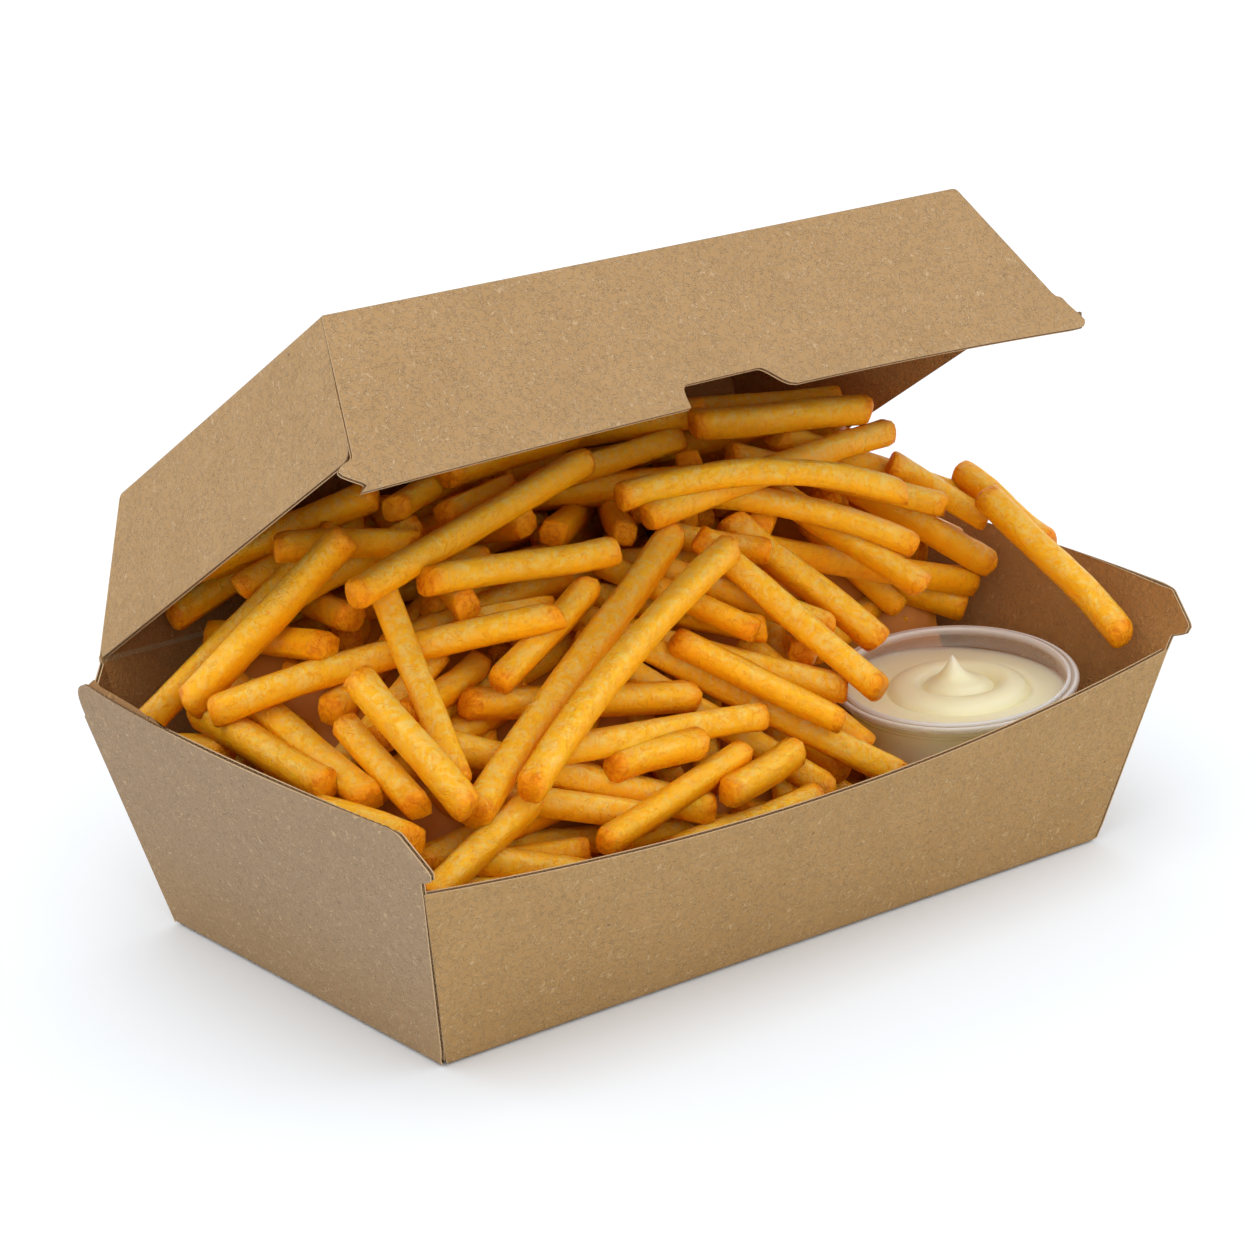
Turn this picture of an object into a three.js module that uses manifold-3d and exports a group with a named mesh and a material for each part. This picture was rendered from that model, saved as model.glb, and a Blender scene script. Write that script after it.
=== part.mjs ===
// Snack box of corrugated kraft board, heaped with shoestring fries, with a pot of mayonnaise.
// Millimetres, +Z up. Origin on the floor at the middle of the tray's base, +X along the box,
// +Y to the back, where the lid is hinged. The lid stands part open.

import * as THREE from 'three';
import { mergeVertices } from 'three/addons/utils/BufferGeometryUtils.js';
import { ConvexGeometry } from 'three/addons/geometries/ConvexGeometry.js';
import Module from 'manifold-3d';

const wasm = await Module();
wasm.setup();

// Driving dimensions
const board = 1.5;               // thickness of the corrugated board
const gap = 0.35;                // clearance between pieces that touch
const base = { length: 205, width: 107 };

// Leans are sideways millimetres per millimetre of height.
const tray = {
  endLean: 0.286,
  frontLean: 0.2315,
  backLean: 0.318,
  rearLean: 0.163,               // of an end panel's rear edge
  frontHeight: 49.3,
  frontDip: 6.5,                 // sag of the front wall's top edge at its middle
  endHeight: 64.2,
  creaseHeight: 62.3,
  creaseHalf: 106.2,             // half the length of the crease between tray and lid
};

const lid = {
  opening: 35,                   // degrees up from shut
  lowest: 20,                    // degrees at which it rests on the fries
  depth: 127.7,                  // along the rim, from the crease to the front panel
  height: 33.3,
  rimHalf: 106.2,
  topHalf: 95.9,
  backSet: 19.45,                // how far the top panel starts in front of the crease
  frontSet: 5.9,                 // how far it stops behind the front of the rim
  lip: 10.6,                     // front panel below the rim, at its ends
  lipRise: 3.2,                  // and how much shorter at its middle
  ear: 5.2,                      // front panel past the end panels
  creaseGap: 0.7,
};

const lock = { left: -16.6, right: 16.2, top: -1.6 };   // cut-out in the lid's front edge

// Heights up an end panel: the notch and hook of its front ear, and the notch at its rear
const ear = { notch: 52, hook: 53.8, shoulder: 59.5, reach: 4, rearNotch: 54, rearRound: 9.5 };

const pot = {
  rim: 31,
  bead: 1.5,
  neck: 27.8,
  foot: 22.5,
  height: 32,
  wall: 0.8,
  collar: 5,                     // wider band below the rim
  x: 77.1,
  y: -29.5,
  rimZ: 42.4,
  tilt: 5.8,                     // degrees
  tiltTowards: -161,
};

const mayo = { belowRim: 3.6, mound: 2.2, peak: 9, ring: 0.8, ringRadius: 16 };

const fry = { side: 6.8, count: 84, shortest: 46, longest: 84, proud: 1.4 };

// The mound of fries: y of its foot and crest, heights of its foot, crest and ends
const heap = {
  foot: -64,
  crest: 34,
  footZ: 37,
  crestZ: 103,
  behindDrop: 24,
  leftStart: -80,
  leftZ: 50,
  rightStart: 84,
  rightZ: 52,
  rightRise: 34,
  endWidth: 32,
  potSlope: 16,
};

const creaseY = base.width / 2 + tray.backLean * tray.creaseHeight;

// Solids

function toSolid(geometry) {
  const plain = geometry.clone();
  plain.deleteAttribute('normal');
  plain.deleteAttribute('uv');
  const merged = mergeVertices(plain, 1e-4);
  return new wasm.Manifold(new wasm.Mesh({
    numProp: 3,
    vertProperties: merged.attributes.position.array,
    triVerts: Uint32Array.from(merged.index.array),
  }));
}

function toGeometry(solid) {
  const mesh = solid.getMesh();
  const geometry = new THREE.BufferGeometry();
  geometry.setAttribute('position', new THREE.BufferAttribute(mesh.vertProperties, 3));
  geometry.setIndex(new THREE.BufferAttribute(mesh.triVerts, 1));
  geometry.computeVertexNormals();
  return geometry;
}

function joined(solids) {
  return solids.reduce((whole, solid) => whole.add(solid));
}

function named(name, solid, look) {
  const mesh = new THREE.Mesh(toGeometry(solid), new THREE.MeshStandardMaterial(look));
  mesh.name = name;
  return mesh;
}

// A panel of board. Its outline lies on the outer face, and its thickness goes inwards.
function panel(outline, origin, across, up) {
  const x = across.clone().normalize();
  const outward = new THREE.Vector3().crossVectors(x, up).normalize();
  const y = new THREE.Vector3().crossVectors(outward, x);
  const geometry = new THREE.ExtrudeGeometry(outline, { depth: board, bevelEnabled: false, curveSegments: 6 });
  const place = new THREE.Matrix4().makeBasis(x, y, outward);
  place.setPosition(origin.clone().addScaledVector(outward, -board));
  return toSolid(geometry.applyMatrix4(place));
}

function polygon(points) {
  return new THREE.Shape(points.map(([x, y]) => new THREE.Vector2(x, y)));
}

// A panel with straight edges, from its corners on the outer face, counter-clockwise from outside.
function facet(corners) {
  const [origin, second] = corners;
  const last = corners[corners.length - 1];
  const x = second.clone().sub(origin).normalize();
  const up = last.clone().sub(origin);
  const outward = new THREE.Vector3().crossVectors(x, up).normalize();
  const y = new THREE.Vector3().crossVectors(outward, x);
  const outline = corners.map((corner) => {
    const arm = corner.clone().sub(origin);
    return [arm.dot(x), arm.dot(y)];
  });
  return panel(polygon(outline), origin, x, up);
}

// Tray

function trayFloor() {
  const geometry = new THREE.BoxGeometry(base.length, base.width, board);
  return toSolid(geometry.translate(0, 0, board / 2));
}

function trayFront() {
  const slope = Math.hypot(1, tray.frontLean);
  const top = tray.frontHeight * slope;
  const topHalf = base.length / 2 + tray.endLean * tray.frontHeight;
  const sag = top - tray.frontDip * 4 / 3;
  const outline = polygon([[-base.length / 2, 0], [base.length / 2, 0], [topHalf, top]]);
  outline.bezierCurveTo(topHalf * 0.5, sag, -topHalf * 0.5, sag, -topHalf, top);
  return panel(outline, new THREE.Vector3(0, -base.width / 2, 0),
    new THREE.Vector3(1, 0, 0), new THREE.Vector3(0, -tray.frontLean, 1));
}

// The end panel stands above the walls beside it. Its front corner is a hooked ear that
// catches the lid, and its rear corner is rounded. side is -1 at the left, 1 at the right.
function trayEnd(side) {
  const slope = Math.hypot(1, tray.endLean);
  const front = (z) => -base.width / 2 - tray.frontLean * z;
  const rear = (z) => base.width / 2 + tray.rearLean * z;
  const top = tray.endHeight;
  const at = (y, z) => [side * y, z * slope];
  const corner = rear(ear.rearNotch);
  const outline = polygon([at(front(0), 0), at(rear(0), 0), at(corner, ear.rearNotch)]);
  outline.lineTo(...at(corner - 0.8, ear.rearNotch + 1.2));
  outline.quadraticCurveTo(...at(corner - 0.6, top - 0.8), ...at(corner - ear.rearRound, top));
  outline.lineTo(...at(front(top) + 4.4, top));
  outline.quadraticCurveTo(...at(front(ear.shoulder) + 0.4, top - 0.6),
    ...at(front(ear.shoulder) - 1.8, ear.shoulder));
  outline.quadraticCurveTo(...at(front(ear.hook) - ear.reach + 0.2, ear.hook + 3),
    ...at(front(ear.hook) - ear.reach, ear.hook));
  outline.lineTo(...at(front(ear.notch), ear.notch));
  return panel(outline, new THREE.Vector3(side * base.length / 2, 0, 0),
    new THREE.Vector3(0, side, 0), new THREE.Vector3(side * tray.endLean, 0, 1));
}

function trayBackCorner(side, z) {
  const half = base.length / 2 + (tray.creaseHalf - base.length / 2) * z / tray.creaseHeight;
  return new THREE.Vector3(side * half, base.width / 2 + tray.backLean * z, z);
}

function trayRearCorner(side, z) {
  return new THREE.Vector3(side * (base.length / 2 + tray.endLean * z), base.width / 2 + tray.rearLean * z, z);
}

function trayBack() {
  const top = tray.creaseHeight - lid.creaseGap;
  return facet([trayBackCorner(1, 0), trayBackCorner(-1, 0), trayBackCorner(-1, top), trayBackCorner(1, top)]);
}

// Folded web between the back wall and an end panel
function trayWeb(side) {
  const corners = [trayRearCorner(side, 0), trayBackCorner(side, tray.creaseHeight - lid.creaseGap),
    trayRearCorner(side, ear.rearNotch)];
  return facet(side > 0 ? corners : corners.reverse());
}

function makeTray() {
  return joined([trayFloor(), trayFront(), trayBack(), trayEnd(-1), trayEnd(1), trayWeb(-1), trayWeb(1)]);
}

// Lid, in its own frame: origin on the crease, -Y along the rim to the front, +Z up when shut

function lidFront() {
  const slope = Math.hypot(1, lid.frontSet / lid.height);
  const at = (x, z) => [x, z * slope];
  const rim = lid.rimHalf;
  const lipAt = (x) => -lid.lip + lid.lipRise * (1 - (x / rim) ** 2);
  const outline = polygon([at(lid.topHalf, lid.height), at(-lid.topHalf, lid.height), at(-rim, 0)]);
  outline.lineTo(...at(-rim - 0.6, -1.8));
  outline.lineTo(...at(-rim - 2.4, -2.2));
  outline.quadraticCurveTo(...at(-rim - lid.ear, -2.6), ...at(-rim - lid.ear, -6));
  outline.quadraticCurveTo(...at(-rim - lid.ear, -lid.lip), ...at(-rim + 0.5, -lid.lip));
  outline.quadraticCurveTo(...at(-0.6 * rim, lipAt(-rim * 0.6)), ...at(lock.left, lipAt(lock.left)));
  outline.quadraticCurveTo(...at(lock.left + 0.2, lock.top - 3), ...at(lock.left + 0.4, lock.top - 2));
  outline.quadraticCurveTo(...at(lock.left + 0.6, lock.top), ...at(lock.left + 3, lock.top));
  outline.lineTo(...at(lock.right - 7.5, lock.top));
  outline.quadraticCurveTo(...at(lock.right - 3.5, lock.top), ...at(lock.right - 2, lipAt(lock.right) + 0.4));
  outline.lineTo(...at(lock.right, lipAt(lock.right)));
  outline.quadraticCurveTo(...at(0.6 * rim, lipAt(rim * 0.6)), ...at(rim + lid.ear - 2, -lid.lip));
  outline.quadraticCurveTo(...at(rim + lid.ear, -lid.lip), ...at(rim + lid.ear, -lid.lip + 2));
  outline.quadraticCurveTo(...at(rim + lid.ear, -2.6), ...at(rim + 2.4, -2.2));
  outline.lineTo(...at(rim + 0.6, -1.8));
  outline.lineTo(...at(rim, 0));
  return panel(outline, new THREE.Vector3(0, -lid.depth, 0),
    new THREE.Vector3(1, 0, 0), new THREE.Vector3(0, lid.frontSet, lid.height));
}

function lidBack() {
  const corner = (side, z) => new THREE.Vector3(
    side * (lid.rimHalf + (lid.topHalf - lid.rimHalf) * z / lid.height), -lid.backSet * z / lid.height, z);
  return facet([corner(1, lid.creaseGap), corner(-1, lid.creaseGap), corner(-1, lid.height),
    corner(1, lid.height)]);
}

function lidEnd(side) {
  const lean = (lid.rimHalf - lid.topHalf) / lid.height;
  const slope = Math.hypot(1, lean);
  const at = (y, z) => [side * y, z * slope];
  const round = 2.5;
  const backFoot = -lid.backSet * lid.creaseGap / lid.height;
  const outline = polygon([at(backFoot, lid.creaseGap), at(-lid.backSet, lid.height),
    at(lid.frontSet - lid.depth, lid.height), at(-lid.depth + lid.frontSet * round / lid.height, round)]);
  outline.quadraticCurveTo(...at(-lid.depth, 0), ...at(-lid.depth + round, 0));
  outline.lineTo(...at(-round, 0));
  return panel(outline, new THREE.Vector3(side * lid.rimHalf, 0, 0),
    new THREE.Vector3(0, side, 0), new THREE.Vector3(-side * lean, 0, 1));
}

function lidTop() {
  const corner = (x, y) => new THREE.Vector3(x, y, lid.height);
  const front = lid.frontSet - lid.depth;
  return facet([corner(-lid.topHalf, front), corner(lid.topHalf, front),
    corner(lid.topHalf, -lid.backSet), corner(-lid.topHalf, -lid.backSet)]);
}

function makeLid() {
  return joined([lidTop(), lidFront(), lidBack(), lidEnd(-1), lidEnd(1)]);
}

// Pot of clear plastic, in its own frame: axis on Z, foot on the origin

function turned(profile) {
  const points = profile.map(([r, z]) => new THREE.Vector2(r, z));
  return new THREE.LatheGeometry(points, 40).rotateX(Math.PI / 2);
}

function potOutside(grow) {
  const { rim, bead, neck, foot, height, collar } = pot;
  return [[0, -grow], [foot + grow, -grow], [neck - 0.6 + grow, height - collar],
    [neck + 0.5 + grow, height - collar + 0.6], [neck + 0.5 + grow, height - bead - grow],
    [rim + grow, height - bead - grow]];
}

function makePot() {
  const { rim, bead, neck, foot, height, wall, collar } = pot;
  const profile = [...potOutside(0), [rim, height - 0.3], [rim - 0.4, height], [neck + 0.9, height],
    [neck - 0.2, height - bead], [neck - 0.2, height - collar + 0.4],
    [neck - 0.6 - wall, height - collar - 0.4], [foot - wall, wall], [0, wall]];
  return toSolid(turned(profile));
}

// Mayonnaise: flat at the wall, a round ring, then a mound drawn up to a point
function mayoTop(r) {
  const level = pot.height - mayo.belowRim;
  const ring = mayo.ring * Math.exp(-(((r - mayo.ringRadius) / 3) ** 2));
  const mound = mayo.mound * Math.exp(-((r / 11) ** 2));
  const peak = mayo.peak * Math.exp(-r / 3.2);
  return level + ring + mound + peak;
}

function makeMayo() {
  const level = pot.height - mayo.belowRim;
  const edge = pot.neck - 0.2 - gap;
  const profile = [[0, pot.wall + gap], [pot.foot - pot.wall - gap, pot.wall + gap],
    [pot.neck - 0.6 - pot.wall - gap, pot.height - pot.collar - 0.4], [edge, pot.height - pot.collar + 0.4],
    [edge, level]];
  const steps = 13;
  for (let step = steps - 1; step >= 0; step -= 1) {
    const r = 24 * (step / (steps - 1)) ** 1.4;
    profile.push([r, mayoTop(r)]);
  }
  return toSolid(turned(profile));
}

function potPlace() {
  const towards = THREE.MathUtils.degToRad(pot.tiltTowards);
  const axis = new THREE.Vector3(-Math.sin(towards), Math.cos(towards), 0);
  const turn = new THREE.Matrix4().makeRotationAxis(axis, THREE.MathUtils.degToRad(pot.tilt));
  const foot = new THREE.Vector3(0, 0, -pot.height).applyMatrix4(turn);
  return turn.setPosition(foot.add(new THREE.Vector3(pot.x, pot.y, pot.rimZ)));
}

// Heap of fries

// How high the fries may lie so that the lid, at its lowest, clears them
function underLid(x, y) {
  const angle = THREE.MathUtils.degToRad(lid.lowest);
  const ahead = creaseY - y;
  const lidLean = (lid.rimHalf - lid.topHalf) / lid.height;
  const rimZ = tray.creaseHeight + ahead * Math.tan(angle);
  const inside = lid.rimHalf - board - 2 - Math.abs(x);
  if (inside < 0) return rimZ - 2;
  const roof = Math.min(lid.height - board - 1, inside / lidLean);
  return tray.creaseHeight + (roof + ahead * Math.sin(angle)) / Math.cos(angle);
}

// The mound climbs from the front wall to a crest near the back, falls off at both ends and
// sinks round the pot
function moundTop(x, y) {
  const { clamp, lerp, smoothstep } = THREE.MathUtils;
  const climb = clamp((y - heap.foot) / (heap.crest - heap.foot), 0, 1);
  const rise = Math.sin(climb * Math.PI / 2);
  const behind = Math.max(0, y - heap.crest) / (creaseY - heap.crest);
  const ridge = lerp(heap.footZ, heap.crestZ, rise) - heap.behindDrop * behind ** 1.6;
  const leftEnd = clamp((heap.leftStart - x) / heap.endWidth, 0, 1) ** 1.2;
  const rightEnd = clamp((x - heap.rightStart) / heap.endWidth, 0, 1);
  const left = lerp(ridge, Math.min(ridge, heap.leftZ + 10 * climb), leftEnd);
  const heaped = lerp(left, heap.rightZ + heap.rightRise * rise - heap.behindDrop * behind, rightEnd);
  const fromPot = Math.hypot(x - pot.x, y - pot.y) - pot.rim;
  return lerp(pot.rimZ + 1, heaped, smoothstep(fromPot, -4, heap.potSlope));
}

// A place inside the tray's walls: u from -1 at the left to 1, v from 0 at the front to 1.
// Above the end panels the walls are taken as upright.
function trayInside(u, v, z) {
  const inset = (board + gap) * 1.08;
  const wallZ = Math.min(z, tray.endHeight);
  const half = base.length / 2 + tray.endLean * wallZ - inset;
  const front = -base.width / 2 - tray.frontLean * wallZ + inset;
  const back = base.width / 2 + tray.rearLean * wallZ - inset;
  return new THREE.Vector3(u * half, THREE.MathUtils.lerp(front, back, v), z);
}

function makeMound() {
  const columns = 30;
  const rows = 18;
  const floor = board + gap;
  const geometry = new THREE.BoxGeometry(2, 1, 1, columns, rows, 1).translate(0, 0.5, 0.5);
  const spot = new THREE.Vector3();
  const points = geometry.attributes.position;
  for (let i = 0; i < points.count; i += 1) {
    spot.fromBufferAttribute(points, i);
    const level = trayInside(spot.x, spot.y, tray.endHeight);
    const bare = moundTop(level.x, level.y) - fry.side * 0.5;
    const high = trayInside(spot.x, spot.y, bare);
    const top = Math.min(bare, underLid(high.x, high.y) - fry.side * 0.5);
    const placed = trayInside(spot.x, spot.y, spot.z > 0.5 ? top : floor);
    points.setXYZ(i, placed.x, placed.y, placed.z);
  }
  return toSolid(geometry);
}

// Fries that lie on the mound, each a square bar along the slope
function makeFry(number) {
  const golden = 0.6180339887;
  const spin = 0.7548776662;
  const x = THREE.MathUtils.lerp(-104, 106, (number * golden) % 1);
  const y = THREE.MathUtils.lerp(-52, 56, (number * spin) % 1);
  const heading = (number * golden * 5.3 % 1) * Math.PI;
  const length = THREE.MathUtils.lerp(fry.shortest, fry.longest, (number * spin * 3.1) % 1);
  const arm = new THREE.Vector2(Math.cos(heading), Math.sin(heading)).multiplyScalar(length / 2);
  const [start, finish] = [-1, 1].map((way) => {
    const across = x + way * arm.x;
    const along = y + way * arm.y;
    return new THREE.Vector3(across, along, moundTop(across, along) - fry.side / 2 + fry.proud);
  });
  let drop = 0;
  for (let share = 0; share <= 1; share += 0.05) {
    const spot = start.clone().lerp(finish, share);
    for (const side of [-1, 1]) {
      drop = Math.max(drop, spot.z + fry.side - underLid(spot.x + side * fry.side * 0.7, spot.y));
    }
  }
  start.z -= drop;
  finish.z -= drop;
  const nearest = new THREE.Line3(start, finish).closestPointToPoint(new THREE.Vector3(pot.x, pot.y, pot.rimZ),
    true, new THREE.Vector3());
  if (Math.hypot(nearest.x - pot.x, nearest.y - pot.y) < pot.rim + fry.side) return null;
  const geometry = new THREE.BoxGeometry(fry.side, fry.side, length);
  const direction = finish.clone().sub(start).normalize();
  const turn = new THREE.Quaternion().setFromUnitVectors(new THREE.Vector3(0, 0, 1), direction);
  const middle = start.clone().add(finish).multiplyScalar(0.5);
  geometry.applyQuaternion(turn).translate(middle.x, middle.y, middle.z);
  return toSolid(geometry);
}

function trayRoom() {
  const corners = [board + gap, tray.endHeight, heap.crestZ + 10].flatMap((z) => [trayInside(-1, 0, z),
    trayInside(1, 0, z), trayInside(1, 1, z), trayInside(-1, 1, z)]);
  return toSolid(new ConvexGeometry(corners));
}

function potRoom() {
  const { rim, height } = pot;
  const profile = [...potOutside(gap), [rim + 2, height + 3], [rim + 14, height + 60], [0, height + 60]];
  return toSolid(turned(profile).applyMatrix4(potPlace()));
}

function makeHeap() {
  const fries = [makeMound()];
  for (let number = 1; number <= fry.count; number += 1) fries.push(makeFry(number));
  const heaped = joined(fries.filter(Boolean)).intersect(trayRoom()).subtract(potRoom());
  return joined(heaped.decompose().filter((body) => body.volume() > 0));   // without sealed pockets
}

// Assembly

const kraft = { color: 0xb08d64, roughness: 0.9, metalness: 0 };
const fried = { color: 0xe8a83c, roughness: 0.55, metalness: 0 };
const clear = { color: 0xe9e6de, roughness: 0.15, metalness: 0, transparent: true, opacity: 0.4 };
const cream = { color: 0xecdcb4, roughness: 0.35, metalness: 0 };

const box = new THREE.Group();
box.add(named('tray', makeTray(), kraft));
box.add(named('fries_heap', makeHeap(), fried));

const lidGroup = new THREE.Group();
lidGroup.position.set(0, creaseY, tray.creaseHeight);
lidGroup.rotation.x = THREE.MathUtils.degToRad(-lid.opening);
lidGroup.add(named('lid', makeLid(), kraft));
box.add(lidGroup);

const potGroup = new THREE.Group();
potGroup.applyMatrix4(potPlace());
potGroup.add(named('dip_pot', makePot(), clear));
potGroup.add(named('mayonnaise', makeMayo(), cream));
box.add(potGroup);

export default box;
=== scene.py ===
# Corrugated snack box with its lid part open, heaped with shoestring fries, with a pot of mayonnaise.
# Shapes are worked out in millimetres and made in metres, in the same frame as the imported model.
import math
import random

import bpy
import numpy as np
from mathutils import Matrix, Vector, noise


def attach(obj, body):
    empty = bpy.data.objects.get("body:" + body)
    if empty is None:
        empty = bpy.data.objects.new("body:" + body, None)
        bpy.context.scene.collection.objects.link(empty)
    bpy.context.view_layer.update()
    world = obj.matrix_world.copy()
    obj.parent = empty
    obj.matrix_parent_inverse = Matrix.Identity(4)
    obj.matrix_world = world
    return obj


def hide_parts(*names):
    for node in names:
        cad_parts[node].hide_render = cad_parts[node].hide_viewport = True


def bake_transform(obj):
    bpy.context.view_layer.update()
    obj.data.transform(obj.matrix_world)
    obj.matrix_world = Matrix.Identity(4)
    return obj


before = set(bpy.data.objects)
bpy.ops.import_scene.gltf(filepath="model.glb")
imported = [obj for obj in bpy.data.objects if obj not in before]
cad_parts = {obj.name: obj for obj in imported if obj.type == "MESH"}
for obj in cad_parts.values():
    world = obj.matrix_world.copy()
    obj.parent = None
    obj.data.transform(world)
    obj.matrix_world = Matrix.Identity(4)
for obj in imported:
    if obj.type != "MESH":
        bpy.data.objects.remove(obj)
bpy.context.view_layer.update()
mm = 0.001
print("frame loaded:", sorted(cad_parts))


# Camera

camera = {"place": (-526.8, -612.2, 344.0), "heading": 40.46, "down": 19.05, "roll": -0.383, "field": 19.94}


def addCamera():
    heading, down, roll = (math.radians(camera[key]) for key in ("heading", "down", "roll"))
    ahead = Vector((math.sin(heading), math.cos(heading), 0))
    forward = ahead * math.cos(down) - Vector((0, 0, math.sin(down)))
    level = Vector((math.cos(heading), -math.sin(heading), 0))
    upright = level.cross(forward)
    right = level * math.cos(roll) + upright * math.sin(roll)
    up = upright * math.cos(roll) - level * math.sin(roll)
    data = bpy.data.cameras.new("camera")
    data.angle = math.radians(camera["field"])
    data.clip_start = 0.01
    holder = bpy.data.objects.new("camera", data)
    bpy.context.scene.collection.objects.link(holder)
    turn = Matrix((right, up, -forward)).transposed().to_4x4()
    holder.matrix_world = Matrix.Translation(Vector(camera["place"]) * mm) @ turn
    bpy.context.scene.camera = holder


# Small helpers

def smooth(low, high, value):
    share = min(max((value - low) / (high - low), 0), 1)
    return share * share * (3 - 2 * share)


def mix(a, b, share):
    return a + (b - a) * share


def clamp(value, low=0.0, high=1.0):
    return min(max(value, low), high)


def evenly(start, stop, count):
    return [mix(start, stop, step / count) for step in range(count + 1)]


def selectOnly(*pieces):
    if bpy.context.object and bpy.context.object.mode != "OBJECT":
        bpy.ops.object.mode_set(mode="OBJECT")
    bpy.ops.object.select_all(action="DESELECT")
    for piece in pieces:
        piece.select_set(True)
    bpy.context.view_layer.objects.active = pieces[0]


def joinPieces(name, pieces):
    selectOnly(*pieces)
    if len(pieces) > 1:
        bpy.ops.object.join()
    whole = bpy.context.object
    whole.name = name
    whole.data.name = name
    return whole


def applyModifier(piece, kind, **settings):
    selectOnly(piece)
    modifier = piece.modifiers.new(kind.lower(), kind)
    for key, value in settings.items():
        setattr(modifier, key, value)
    bpy.ops.object.modifier_apply(modifier=modifier.name)


def smoothShade(piece, degrees):
    selectOnly(piece)
    bpy.ops.object.shade_smooth_by_angle(angle=math.radians(degrees))


def addSheet(name, columns, rows, place, outside):
    # a grid whose points go where place(column, row) says, faces towards outside
    bpy.ops.object.select_all(action="DESELECT")
    across, along = len(columns) - 1, len(rows) - 1
    bpy.ops.mesh.primitive_grid_add(x_subdivisions=across, y_subdivisions=along, size=2)
    sheet = bpy.context.object
    sheet.name = name
    for vertex in sheet.data.vertices:
        column = round((vertex.co.x + 1) / 2 * across)
        row = round((vertex.co.y + 1) / 2 * along)
        vertex.co = Vector(place(columns[column], rows[row])) * mm
    facing = sum((face.normal * face.area for face in sheet.data.polygons), Vector())
    if facing.dot(Vector(outside)) < 0:
        sheet.data.flip_normals()
    return sheet


# Materials

class Nodes:
    # short names for adding and linking shader nodes
    def __init__(self, name):
        self.material = bpy.data.materials.new(name)
        self.material.use_nodes = True
        self.tree = self.material.node_tree
        self.shader = self.tree.nodes["Principled BSDF"]

    def add(self, kind, inputs=None, **settings):
        node = self.tree.nodes.new(kind)
        for key, value in settings.items():
            setattr(node, key, value)
        for key, value in (inputs or {}).items():
            self.put(node.inputs[key], value)
        return node

    def put(self, socket, value):
        if isinstance(value, bpy.types.NodeSocket):
            self.tree.links.new(value, socket)
        else:
            socket.default_value = value

    def feed(self, name, value):
        self.put(self.shader.inputs[name], value)

    def coordinates(self):
        return self.add("ShaderNodeTexCoord").outputs["Object"]

    def noise(self, vector, scale, detail=2.0, roughness=0.5, distortion=0.0):
        return self.add("ShaderNodeTexNoise", {"Vector": vector, "Scale": scale, "Detail": detail,
            "Roughness": roughness, "Distortion": distortion}).outputs["Fac"]

    def math(self, operation, a, b=0.0, clamped=False):
        return self.add("ShaderNodeMath", {0: a, 1: b}, operation=operation, use_clamp=clamped).outputs[0]

    def span(self, value, low, high, start=0.0, stop=1.0):
        node = self.add("ShaderNodeMapRange", {"Value": value, "From Min": low, "From Max": high,
            "To Min": start, "To Max": stop}, interpolation_type="SMOOTHSTEP")
        return node.outputs["Result"]

    def blend(self, share, a, b):
        node = self.add("ShaderNodeMix", data_type="RGBA")
        for socket, value in (("Factor_Float", share), ("A_Color", a), ("B_Color", b)):
            self.put(next(s for s in node.inputs if s.identifier == socket), value)
        return next(s for s in node.outputs if s.identifier == "Result_Color")

    def bump(self, height, strength, distance, below=None):
        node = self.add("ShaderNodeBump", {"Height": height, "Strength": strength, "Distance": distance})
        if below is not None:
            self.put(node.inputs["Normal"], below)
        return node.outputs["Normal"]

    def attribute(self, name):
        return self.add("ShaderNodeAttribute", attribute_name=name).outputs["Fac"]


kraft = {
    "pale": (0.455, 0.280, 0.130, 1), "deep": (0.395, 0.236, 0.104, 1), "fibre": (0.600, 0.425, 0.250, 1),
    # grey: a cooler colour painted on the tray's left end as cool light
    "speck": (0.13, 0.066, 0.028, 1), "grey": (0.292, 0.211, 0.148, 1), "cut": (0.58, 0.42, 0.25, 1),
    # the front copy is warmer: painted light on the tray's front wall
    "tones": (("kraft liner", (0.97, 0.97, 0.96)), ("kraft front painted light", (0.96, 0.93, 0.80)),
        # the inside copy, darker and oranger: painted shade with the fries' orange light
        ("kraft inside painted shade", (0.88, 0.67, 0.42))),
}


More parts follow.
